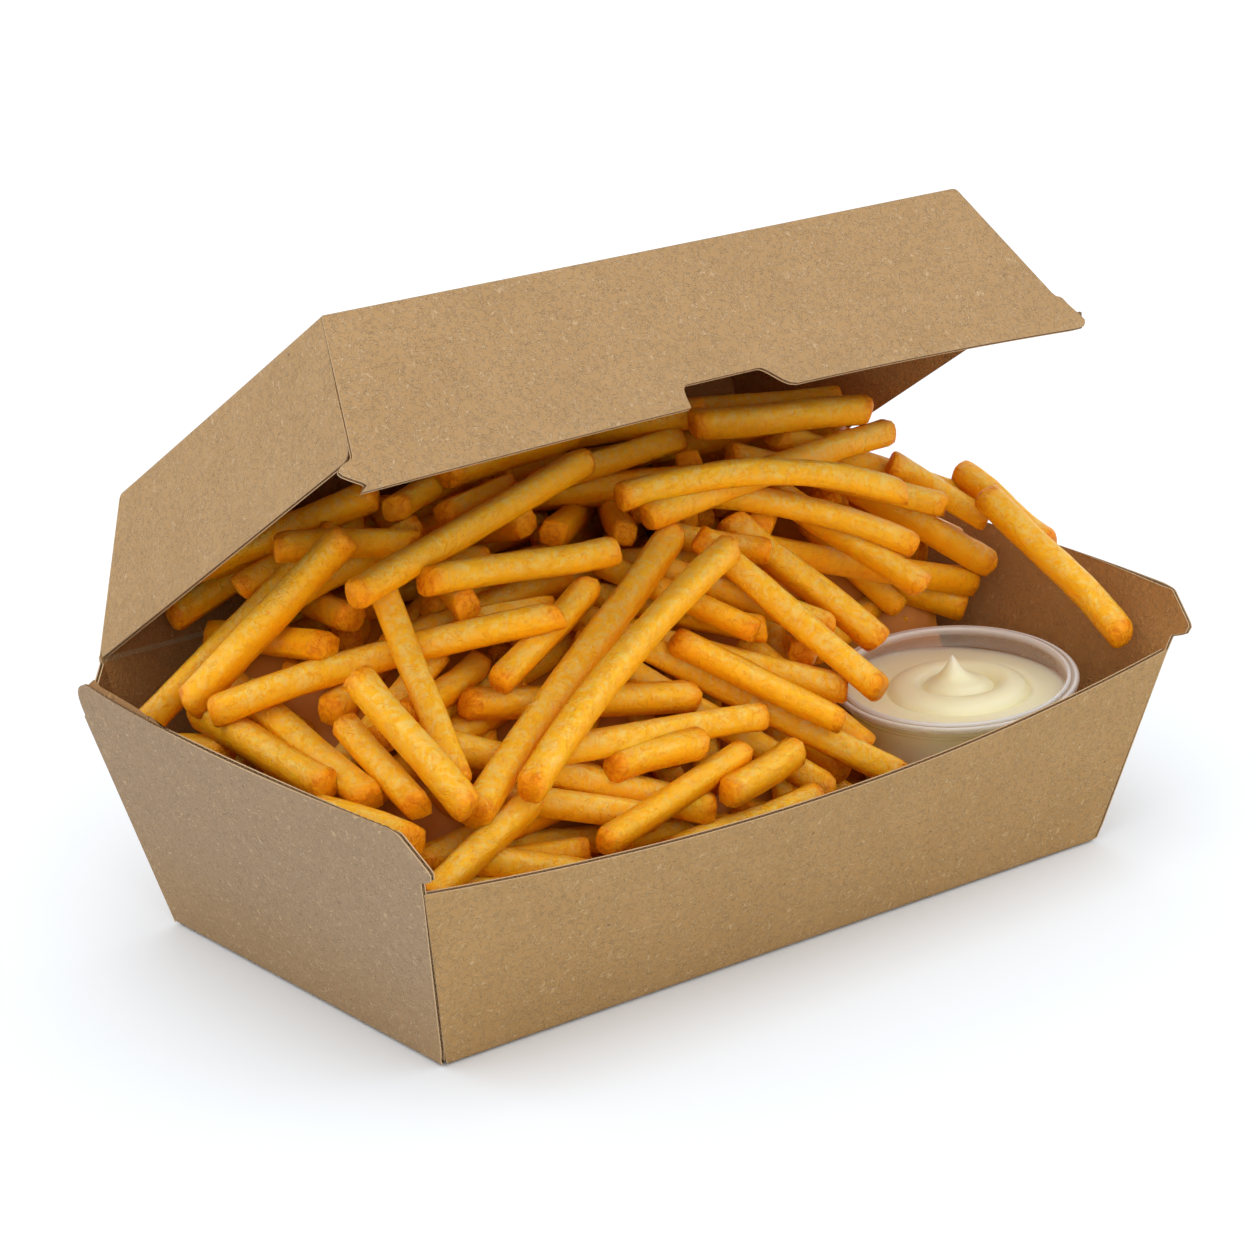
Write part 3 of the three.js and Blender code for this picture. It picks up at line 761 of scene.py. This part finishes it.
def bendFry(bar, start, finish, up, aside, chance, half, tint):
    # one fry: the bar bent along its own line, squared in section, uneven and blunt at its ends
    start, finish = Vector(start), Vector(finish)
    length = (finish - start).length
    along = (finish - start).normalized()
    side = along.cross(Vector((0, 0, 1))).normalized()
    above = side.cross(along)
    roll = chance.uniform(-0.5, 0.5)
    wide, high = half * chance.uniform(0.93, 1.08), half * chance.uniform(0.93, 1.08)
    slants = [chance.uniform(-0.28, 0.28) for corner in range(4)]
    seed = Vector((chance.uniform(0, 90), chance.uniform(0, 90), chance.uniform(0, 90)))
    wave = chance.uniform(-0.7, 0.7)
    twist = chance.uniform(-0.25, 0.25)
    mesh = bar.data.copy()
    ends, wraps = [], []
    for vertex in mesh.vertices:
        share = clamp(vertex.co.z)
        radius = math.hypot(vertex.co.x, vertex.co.y)
        angle = math.atan2(vertex.co.y, vertex.co.x)
        fromEnd = min(share, 1 - share) * length
        squared = (abs(math.cos(angle)) ** 3.2 + abs(math.sin(angle)) ** 3.2) ** (-1 / 3.2)
        taper = 0.80 + 0.22 * math.sqrt(1 - (1 - clamp(fromEnd / 2.0)) ** 2) - 0.02 * smooth(2, 9, fromEnd)
        ring = Vector((math.cos(angle), math.sin(angle), share * length / 14))
        ruffle = noise.noise(seed + ring * 0.9)
        dent = noise.noise(seed * 2 + Vector((ring.x * 1.5, ring.y * 1.5, ring.z * 4.5)))
        grow = 1 + 0.085 * ruffle + 0.035 * dent * (1 + 0.8 * (1 - smooth(0, 6, fromEnd)))
        turn = roll + twist * (share - 0.5)
        x = math.cos(angle) * squared * radius * taper * grow * wide
        y = math.sin(angle) * squared * radius * taper * grow * high
        x, y = x * math.cos(turn) - y * math.sin(turn), x * math.sin(turn) + y * math.cos(turn)
        bulge = 4 * share * (1 - share)
        slant = (slants[0] * x + slants[1] * y) if share < 0.5 else (slants[2] * x + slants[3] * y)
        slant *= 1 - smooth(0, 7, fromEnd)
        dome = (1 - radius) * 0.9 * (1 if share > 0.5 else -1) if fromEnd < 0.01 else 0
        centre = start.lerp(finish, share) + above * up * bulge + side * aside * bulge
        centre += side * wave * math.sin(share * math.pi * 2) + along * (slant + dome)
        vertex.co = (centre + side * x + above * y) * mm
        ends.append(fromEnd)
        wraps += [share * length * mm, math.cos(angle) * half * mm, math.sin(angle) * half * mm]
    mesh.flip_normals()
    mesh.update()
    # painted shade: turned is how far each face turns away from the painted light's way
    paintedLightWay = Vector(fry["paintedLightWay"]).normalized()
    turned = [clamp((0.96 - vertex.normal.dot(paintedLightWay)) / 0.85) for vertex in mesh.vertices]
    for key, values in (("fromEnd", ends), ("turned", turned), ("tint", [tint] * len(ends))):
        mesh.attributes.new(key, "FLOAT", "POINT").data.foreach_set("value", values)
    mesh.attributes.new("wrap", "FLOAT_VECTOR", "POINT").data.foreach_set("vector", wraps)
    piece = bpy.data.objects.new("fry", mesh)
    bpy.context.scene.collection.objects.link(piece)
    return piece


def ringStops(count, endStep):
    middle = evenly(endStep * 3.2, 1 - endStep * 3.2, count)
    return [0, endStep * 0.45, endStep * 1.4] + middle + [1 - endStep * 1.4, 1 - endStep * 0.45, 1]


def settle(x, y, heading, length, up, taken):
    # the highest place on the heap or in it where a fry clears the walls, the pot and those before it
    arm = Vector((math.cos(math.radians(heading)), math.sin(math.radians(heading)), 0)) * length / 2
    middle = Vector((x, y, 0))
    for lift in evenly(fry["rest"], -fry["sunk"], 24):
        ends = [Vector((end.x, end.y, heapTop(end.x, end.y) + lift)) for end in (middle - arm, middle + arm)]
        line = fryLine(*ends, up, 0, 4)
        if not all(fitsInBox(spot) for spot in line):
            continue
        if not taken or all(spacing(np.array(a), np.array(b), np.array(taken)) > fry["clear"]
                for a, b in zip(line, line[1:])):
            return ends
    return None


def makeLaidFries():
    chance = random.Random(fry["seed"])
    bar = modelFry(fry["sides"], ringStops(30, 0.014))
    pieces, taken = [], []
    for x, y, heading, length, up in strewnFries:
        ends = settle(x, y, heading, length, up, taken)
        if ends is None:
            print("no room for the fry at", x, y)
            continue
        half = fry["half"] * chance.uniform(0.94, 1.05)
        pieces.append(bendFry(bar, *ends, up, 0, chance, half, chance.uniform(0, 0.6)))
        line = [tuple(spot) for spot in fryLine(*ends, up, 0, 4)]
        taken += list(zip(line, line[1:]))
    bpy.data.objects.remove(bar)
    print("strewn fries:", len(pieces))
    finishFries("laidFries", pieces)
    return taken


def spacing(start, finish, taken):
    # least distance from one straight line piece to each of those taken
    starts, others = taken[:, 0], taken[:, 1] - taken[:, 0]
    first, apart = finish - start, start - starts
    a, e = first @ first, np.einsum("ij,ij->i", others, others)
    b, c, f = others @ first, apart @ first, np.einsum("ij,ij->i", others, apart)
    s = np.clip((b * f - c * e) / np.maximum(a * e - b * b, 1e-9), 0, 1)
    t = np.clip((b * s + f) / e, 0, 1)
    s = np.clip((b * t - c) / a, 0, 1)
    return np.linalg.norm(apart + s[:, None] * first - t[:, None] * others, axis=1).min()


def makeFillFries(taken):
    # fries between and under the laid ones, each at the highest place where it clears the rest
    chance = random.Random(fry["seed"] + 1)
    bar = modelFry(fry["fillSides"], ringStops(3, 0.03))
    pieces = []
    taken = np.array(taken)
    for shortest, longest, left, tries in fry["passes"]:
        for attempt in range(tries):
            middle = trayInside(chance.uniform(left, 1) * 0.97, chance.uniform(0.02, 0.98), 58)
            heading, length = chance.uniform(0, math.pi), chance.uniform(shortest, longest)
            arm = Vector((math.cos(heading), math.sin(heading), 0)) * length / 2
            tilt, drop = chance.uniform(0, 11), 4
            while drop < fry["deepest"]:
                ends = [Vector((end.x, end.y, moundTop(end.x, end.y) - drop - lower))
                    for end, lower in ((middle - arm, 0), (middle + arm, tilt))]
                drop += 2
                if not all(fitsInBox(ends[0].lerp(ends[1], step / 4)) for step in (0, 4, 2, 1, 3)):
                    continue
                if spacing(np.array(ends[0]), np.array(ends[1]), taken) > fry["clear"]:
                    # the fill fries lie lower in the heap and get a higher tint, a deeper orange that is
                    # partly painted shade
                    half, tint = fry["half"] * chance.uniform(0.92, 1.04), chance.uniform(0.3, 1)
                    up, aside = chance.uniform(-0.8, 0.8), chance.uniform(-1, 1)
                    pieces.append(bendFry(bar, *ends, up, aside, chance, half, tint))
                    taken = np.concatenate([taken, [[tuple(ends[0]), tuple(ends[1])]]])
                    break
    bpy.data.objects.remove(bar)
    print("fill fries:", len(pieces))
    finishFries("fillFries", pieces)


def fitsInBox(spot):
    room = fry["half"] * 1.15
    wall = min(spot.z, tray["endHeight"])
    if abs(spot.x) > tray["baseHalf"] + tray["endLean"] * wall - board["thick"] - room:
        return False
    if spot.y < -tray["baseDepth"] - tray["frontLean"] * wall + board["thick"] + room:
        return False
    behind = spot.y - (tray["baseDepth"] + tray["rearLean"] * wall - board["thick"] - room)
    if behind > (tray["backLean"] - tray["rearLean"]) * wall:
        return False
    if behind > 0 and abs(spot.x) > tray["creaseHalf"] - room - behind:      # inside the folded corner
        return False
    fromPot = spot - Vector((potSpot["x"], potSpot["y"], spot.z))
    if fromPot.length < potSpot["rim"] + room * 0.6 and 10 < spot.z < potSpot["rimZ"] + 2 * room:
        return False
    aside, before = 0.76 * fromPot.x - 0.65 * fromPot.y, -0.65 * fromPot.x - 0.76 * fromPot.y
    if 25 < spot.z < potSpot["rimZ"] + room and before > 0 and -15 < aside < potSpot["rim"] + room:
        return False      # nothing leans on the pot at its near side
    return spot.z < underLid(spot.x, spot.y) - room


def finishFries(name, pieces):
    whole = joinPieces(name, pieces)
    whole.data.materials.clear()
    whole.data.materials.append(bpy.data.materials["fried potato"])
    smoothShade(whole, 70)
    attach(whole, "tray")
    return whole


def makeCore():
    # what shows deep between the fries: a sheet in a darker orange than the fries, painted shade
    def place(u, v):
        level = trayInside(u, v, 58)
        drop = heap["coreDrop"]
        bump = 3.5 * noise.noise(Vector((level.x / 9, level.y / 9, 3)))
        low = min(moundTop(level.x, level.y), underLid(level.x, level.y)) - drop + bump
        edge = 1 - smooth(0.86, 1.0, max(abs(u), abs(2 * v - 1)))
        return trayInside(u * 0.985, mix(0.015, 0.985, v), mix(4, max(low, 6), clamp(edge * 1.8)))

    core = addSheet("heapCore", evenly(-1, 1, 90), evenly(0, 1, 60), place, (0, 0, 1))
    core.data.materials.append(bpy.data.materials["heap core painted shade"])
    smoothShade(core, 80)
    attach(core, "tray")
    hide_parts("fries_heap")


def fryMaterial():
    n = Nodes("fried potato")
    wrap = n.add("ShaderNodeAttribute", attribute_name="wrap").outputs["Vector"]
    tint, fromEnd, turned = n.attribute("tint"), n.attribute("fromEnd"), n.attribute("turned")
    shifted = n.add("ShaderNodeVectorMath", {0: wrap}, operation="ADD")
    shift = n.add("ShaderNodeCombineXYZ", {"X": n.math("MULTIPLY", tint, 3.7), "Y": tint})
    n.put(shifted.inputs[1], shift.outputs[0])
    spot = shifted.outputs[0]
    patches = n.noise(spot, 150, 4, 0.6, 0.6)
    wrinkle = n.noise(spot, 420, 4, 0.62, 1.0)
    fine = n.noise(spot, 1900, 3, 0.6)
    # short creases, the level lines of a wavy noise, coloured darker amber as painted shade in the wrinkles
    field = n.noise(spot, 330, 2, 0.55, 1.8)
    crease = n.span(n.math("ABSOLUTE", n.math("SUBTRACT", field, 0.5)), 0.0, 0.05, 1.0, 0.0)
    crease = n.math("MULTIPLY", crease, n.span(n.noise(spot, 500, 2), 0.42, 0.58))
    # away: painted shade on faces turned from the painted light, mixed with random patches; pale and gold
    # streaks where faces turn to it, deep orange where they turn away
    away = n.math("ADD", turned, n.math("MULTIPLY", n.math("SUBTRACT", patches, 0.5), 0.9))
    # tint: each fry's own random tone, and for the lower fill fries a deeper orange as painted shade
    away = n.math("ADD", away, n.math("MULTIPLY", tint, 0.42))
    streak = n.span(n.noise(spot, 260, 3, 0.6, 2.2), 0.40, 0.64)
    colour = n.blend(streak, (0.88, 0.450, 0.018, 1), (0.83, 0.535, 0.115, 1))
    colour = n.blend(n.span(away, 0.15, 0.90), colour, (0.95, 0.425, 0.007, 1))
    colour = n.blend(n.span(away, 0.65, 1.30), colour, (0.98, 0.345, 0.001, 1))
    amber, brown = (0.84, 0.285, 0.003, 1), (0.60, 0.140, 0.002, 1)
    # painted shade: darker amber along the creases
    colour = n.blend(n.math("MULTIPLY", crease, 0.55), colour, (0.90, 0.350, 0.004, 1))
    atEnd = n.math("ADD", n.span(fromEnd, 0.0, 4.0, 0.75, 0.0), n.math("MULTIPLY",
        n.span(fromEnd, 0.0, 9.0, 1.2, 0.0), n.math("SUBTRACT", wrinkle, 0.3)), clamped=True)
    colour = n.blend(n.math("MULTIPLY", atEnd, 0.9), colour, amber)
    scorched = n.math("MULTIPLY", atEnd, n.span(wrinkle, 0.48, 0.62))
    colour = n.blend(n.math("MULTIPLY", scorched, 0.6), colour, brown)
    n.feed("Base Color", colour)
    n.feed("Roughness", n.span(patches, 0.3, 0.7, 0.27, 0.46))
    n.shader.inputs["Specular IOR Level"].default_value = 0.36
    n.shader.inputs["Specular Tint"].default_value = (1.0, 0.62, 0.22, 1)
    n.shader.inputs["Subsurface Weight"].default_value = 0.6
    n.shader.inputs["Subsurface Radius"].default_value = (1.0, 0.38, 0.06)
    n.shader.inputs["Subsurface Scale"].default_value = 0.0038
    blisters = n.math("MULTIPLY", n.span(fromEnd, 1.0, 6.0, 1.0, 0.10), n.noise(spot, 900, 2, 0.5))
    relief = n.math("SUBTRACT", n.math("MULTIPLY", wrinkle, 0.6), n.math("MULTIPLY", crease, 0.22))
    low = n.bump(relief, 0.7, 0.0010)
    mid = n.bump(blisters, 0.5, 0.0007, low)
    n.feed("Normal", n.bump(fine, 0.15, 0.0002, mid))
    return n.material


def coreMaterial():
    n = Nodes("heap core painted shade")
    spot = n.coordinates()
    # a darker orange than the fries: painted shade deep in the heap
    base = n.blend(n.noise(spot, 120, 3), (0.42, 0.130, 0.003, 1), (0.60, 0.205, 0.006, 1))
    n.feed("Base Color", base)
    n.shader.inputs["Roughness"].default_value = 0.6
    return n.material


# Pot of mayonnaise

pot = {"rim": 31.0, "neck": 27.8, "foot": 22.5, "height": 32.0, "wall": 0.8, "collar": 5.0, "turns": 96}
mayo = {"belowRim": 3.2, "level": 4.4, "peak": 8.8, "roll": 13.4, "rollHalf": 4.3, "ring": 1.9, "groove": 0.5}


def potMatrix():
    towards = math.radians(potSpot["towards"])
    axis = Vector((-math.sin(towards), math.cos(towards), 0))
    turn = Matrix.Rotation(math.radians(potSpot["tilt"]), 4, axis)
    foot = turn @ Vector((0, 0, -pot["height"]))
    place = Vector((potSpot["x"], potSpot["y"], potSpot["rimZ"])) + foot
    return Matrix.Translation(place * mm) @ turn


def spinProfile(name, profile, steps):
    # draw the half section point by point, then spin it round Z
    bpy.ops.object.select_all(action="DESELECT")
    bpy.ops.mesh.primitive_plane_add(size=1)
    turned = bpy.context.object
    turned.name = name
    bpy.ops.object.mode_set(mode="EDIT")
    bpy.ops.mesh.select_all(action="SELECT")
    bpy.ops.mesh.merge(type="CENTER")
    spots = [Vector((r, 0, z)) * mm for r, z in profile]
    bpy.ops.transform.translate(value=spots[0])
    for a, b in zip(spots, spots[1:]):
        bpy.ops.mesh.extrude_vertices_move(TRANSFORM_OT_translate={"value": b - a})
    bpy.ops.mesh.select_all(action="SELECT")
    bpy.ops.mesh.spin(steps=steps, angle=2 * math.pi, center=(0, 0, 0), axis=(0, 0, 1))
    bpy.ops.mesh.select_all(action="SELECT")
    bpy.ops.mesh.remove_doubles(threshold=0.00001)
    bpy.ops.mesh.normals_make_consistent(inside=False)
    bpy.ops.object.mode_set(mode="OBJECT")
    return turned


def arcPoints(centre, radius, start, stop, count):
    turns = [math.radians(turn) for turn in evenly(start, stop, count)]
    return [(centre[0] + radius * math.cos(turn), centre[1] + radius * math.sin(turn)) for turn in turns]


def makePot():
    rim, height, neck, foot, wall = pot["rim"], pot["height"], pot["neck"], pot["foot"], pot["wall"]
    collar = height - pot["collar"]
    profile = [(0, 0.9), (foot - 6, 0.9), (foot - 4, 0.2)]
    profile += arcPoints((foot - 1.2, 1.2), 1.2, -90, -10, 5)
    profile += [(mix(foot, neck - 0.6, share), mix(1.4, collar, share)) for share in (0.35, 0.7, 1)]
    profile += [(neck + 0.3, collar + 0.4), (neck + 0.5, collar + 0.9), (neck + 0.5, height - 2.2)]
    profile += arcPoints((neck + 1.1, height - 2.1), 0.6, 180, 90, 3)
    profile += [(rim - 1.4, height - 1.5)]
    profile += arcPoints((rim - 0.8, height - 0.95), 0.85, -100, 130, 9)
    profile += [(rim - 2.0, height - 0.75), (neck + 1.0, height - 0.75)]
    profile += arcPoints((neck + 0.6, height - 0.2), 0.55, 0, 180, 5)
    profile += [(neck - 0.2, height - 1.5), (neck - 0.2, collar + 1.2), (neck - 0.6, collar + 0.7)]
    profile += [(neck - 0.6 - wall, collar + 0.2)]
    inner = neck - 0.6 - wall
    profile += [(mix(foot - wall, inner, share), mix(2.2, collar, share)) for share in (0.7, 0.35)]
    profile += [(foot - wall - 1.2, 1.7), (0, 1.7)]
    cup = spinProfile("clearPot", profile, pot["turns"])
    heights = [vertex.co.z / mm for vertex in cup.data.vertices]
    # painted sheen: the rim and a ring at the step under it made whiter and more opaque
    step = [0.7 * (1 - smooth(0.4, 0.8, abs(z - collar - 0.8))) for z in heights]
    paintedSheen = [smooth(height - 2.0, height - 1.6, z) + extra for z, extra in zip(heights, step)]
    # painted highlight: a white line along the tops of the rim's bead and inner lip
    paintedHighlight = [smooth(height - 0.35, height - 0.2, z) for z in heights]
    for key, values in (("paintedSheen", paintedSheen), ("paintedHighlight", paintedHighlight)):
        cup.data.attributes.new(key, "FLOAT", "POINT").data.foreach_set("value", values)
    cup.data.transform(potMatrix())
    cup.data.materials.append(bpy.data.materials["clear plastic"])
    smoothShade(cup, 50)
    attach(cup, "tray")
    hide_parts("dip_pot")


def mayoTop(r):
    # flat at the wall, a groove, a soft roll, another groove, then the hollow-sided peak
    level = pot["height"] - mayo["belowRim"]
    across = clamp(abs(r - mayo["roll"]) / mayo["rollHalf"])
    roll = mayo["ring"] * (1 - across ** 2) ** 0.7
    grooves = sum(math.exp(-((r - mayo["roll"] - way * mayo["rollHalf"]) / 0.9) ** 2) for way in (-1, 1))
    inside = 0.9 * (1 - smooth(6.5, 9.5, r))
    peak = mayo["peak"] * math.exp(-((r / 3.2) ** 1.1))
    cling = 0.4 * math.exp((r - 26.9) / 0.8)
    return level + roll - mayo["groove"] * grooves + inside + peak + cling


def potInside(z):
    # inner radius of the pot at a height: narrower below its collar
    collar = pot["height"] - pot["collar"]
    low = mix(pot["foot"], pot["neck"] - 0.6, clamp(z / collar)) - pot["wall"]
    return mix(low, pot["neck"] - 0.2, smooth(collar + 0.1, collar + 1.2, z))


def makeMayo():
    edge, reach = 26.9, 0.25      # reach: just into the wall
    bottom = [(0, 1.5), (potInside(2.4) - 1.2, 1.5)]
    bottom += [(potInside(z) + reach, z) for z in (2.4, 8, 14, 20, 23.5, 24.5)]
    stops = [edge, edge - 0.2, edge - 0.6] + [25.8 * (1 - step / 58) for step in range(58)]
    top = [(r, mayoTop(r)) for r in stops]
    profile = bottom + top + [(0.22, mayoTop(0.3)), (0, mayoTop(0.2))]
    dip = spinProfile("mayonnaiseDip", profile, pot["turns"])
    towards = math.radians(potSpot["towards"])
    for vertex in dip.data.vertices:
        # off-centre swirl, a tip that leans, and a top that lies level in the tilted pot
        x, y, z = vertex.co / mm
        if z < 24.8:
            continue
        r, angle = math.hypot(x, y), math.atan2(y, x)
        rise = z - pot["height"] + mayo["belowRim"]
        swirl = 1 - smooth(19.5, 25.5, r)
        z += swirl * 0.45 * math.sin(angle - math.radians(150) - r * 0.10) * smooth(2, 8, r)
        r += swirl * smooth(1.5, 9, r) * 1.1 * math.sin(angle + 0.9 + r * 0.12)
        z += math.tan(math.radians(mayo["level"])) * r * math.cos(angle - towards)
        if r > 25.9:
            r = potInside(z) + reach
        lean = clamp((rise - 3) / 7) ** 1.5 * 1.2
        vertex.co = Vector((r * math.cos(angle) - lean, r * math.sin(angle) - lean * 0.4, z)) * mm
    dip.data.transform(potMatrix())
    dip.data.materials.append(bpy.data.materials["mayonnaise cream"])
    smoothShade(dip, 60)
    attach(dip, "tray")
    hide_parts("mayonnaise")


def clearMaterial():
    n = Nodes("clear plastic")
    spot = n.coordinates()
    edgeOn = n.add("ShaderNodeLayerWeight", {"Blend": 0.4}).outputs["Facing"]
    paintedHighlight = n.attribute("paintedHighlight")
    # painted highlight: the bead and lip tops turn white and more opaque
    n.feed("Base Color", n.blend(paintedHighlight, (0.86, 0.75, 0.62, 1), (0.96, 0.96, 0.95, 1)))
    n.shader.inputs["Specular IOR Level"].default_value = 0.8
    # painted reflection: the pale base shows more where the wall is seen edge-on, and more on the rim
    clear = n.span(edgeOn, 0.3, 1.0, 0.02, 0.16)
    rim = n.math("MULTIPLY", n.attribute("paintedSheen"), n.span(edgeOn, 0.1, 0.9, 0.20, 0.45))
    alpha = n.math("ADD", n.math("ADD", clear, rim), n.math("MULTIPLY", paintedHighlight, 0.35), clamped=True)
    n.feed("Alpha", alpha)
    n.feed("Roughness", n.span(n.noise(spot, 300, 2), 0.3, 0.7, 0.05, 0.12))
    n.feed("Normal", n.bump(n.noise(spot, 160, 2), 0.05, 0.0002))
    return n.material


def mayoMaterial():
    n = Nodes("mayonnaise cream")
    spot = n.coordinates()
    base = n.blend(n.noise(spot, 130, 3), (0.96, 0.865, 0.56, 1), (0.97, 0.895, 0.62, 1))
    n.feed("Base Color", base)
    n.shader.inputs["Roughness"].default_value = 0.32
    n.shader.inputs["Subsurface Weight"].default_value = 0.9
    n.shader.inputs["Subsurface Radius"].default_value = (1.0, 0.92, 0.7)
    n.shader.inputs["Subsurface Scale"].default_value = 0.007
    n.feed("Normal", n.bump(n.noise(spot, 420, 3), 0.06, 0.0004))
    return n.material


# Floor and light

light = {
    "sky": 1.06, "floor": (0.89, 0.935, 0.985, 1),
    "suns": (("overhead", 0.3, 50.0, (-0.35, 0.12, 0.93)), ("front", 0.6, 80.0, (-0.50, -0.62, 0.50))),
}


def makeFloor():
    bpy.ops.object.select_all(action="DESELECT")
    bpy.ops.mesh.primitive_plane_add(size=12, location=(0, 0, -0.0004))
    floor = bpy.context.object
    floor.name = "paleFloor"
    bpy.ops.object.transform_apply(location=True)
    n = Nodes("pale floor")
    n.shader.inputs["Base Color"].default_value = light["floor"]
    n.shader.inputs["Roughness"].default_value = 0.9
    n.shader.inputs["Specular IOR Level"].default_value = 0.1
    floor.data.materials.append(n.material)


def makeLight():
    world = bpy.data.worlds.new("studio")
    bpy.context.scene.world = world
    world.use_nodes = True
    world.node_tree.nodes["Background"].inputs["Color"].default_value = (1, 1, 1, 1)
    world.node_tree.nodes["Background"].inputs["Strength"].default_value = light["sky"]
    for name, strength, spread, toward in light["suns"]:
        data = bpy.data.lights.new(name, "SUN")
        data.energy = strength
        data.angle = math.radians(spread)
        holder = bpy.data.objects.new(name, data)
        bpy.context.scene.collection.objects.link(holder)
        holder.rotation_euler = Vector(toward).to_track_quat("Z", "Y").to_euler()
    bpy.context.scene.view_settings.view_transform = "Standard"


addCamera()
for name, tone in kraft["tones"]:
    kraftMaterial(name, tone)
for makeMaterial in (cutMaterial, fluteMaterial, fryMaterial, coreMaterial, clearMaterial, mayoMaterial):
    makeMaterial()
print("materials ready")
makeTray()
makeLid()
makeCrease()
print("box folded")
makeCore()
makeFillFries(makeLaidFries())
print("fries heaped")
makePot()
makeMayo()
print("pot filled")
makeFloor()
makeLight()
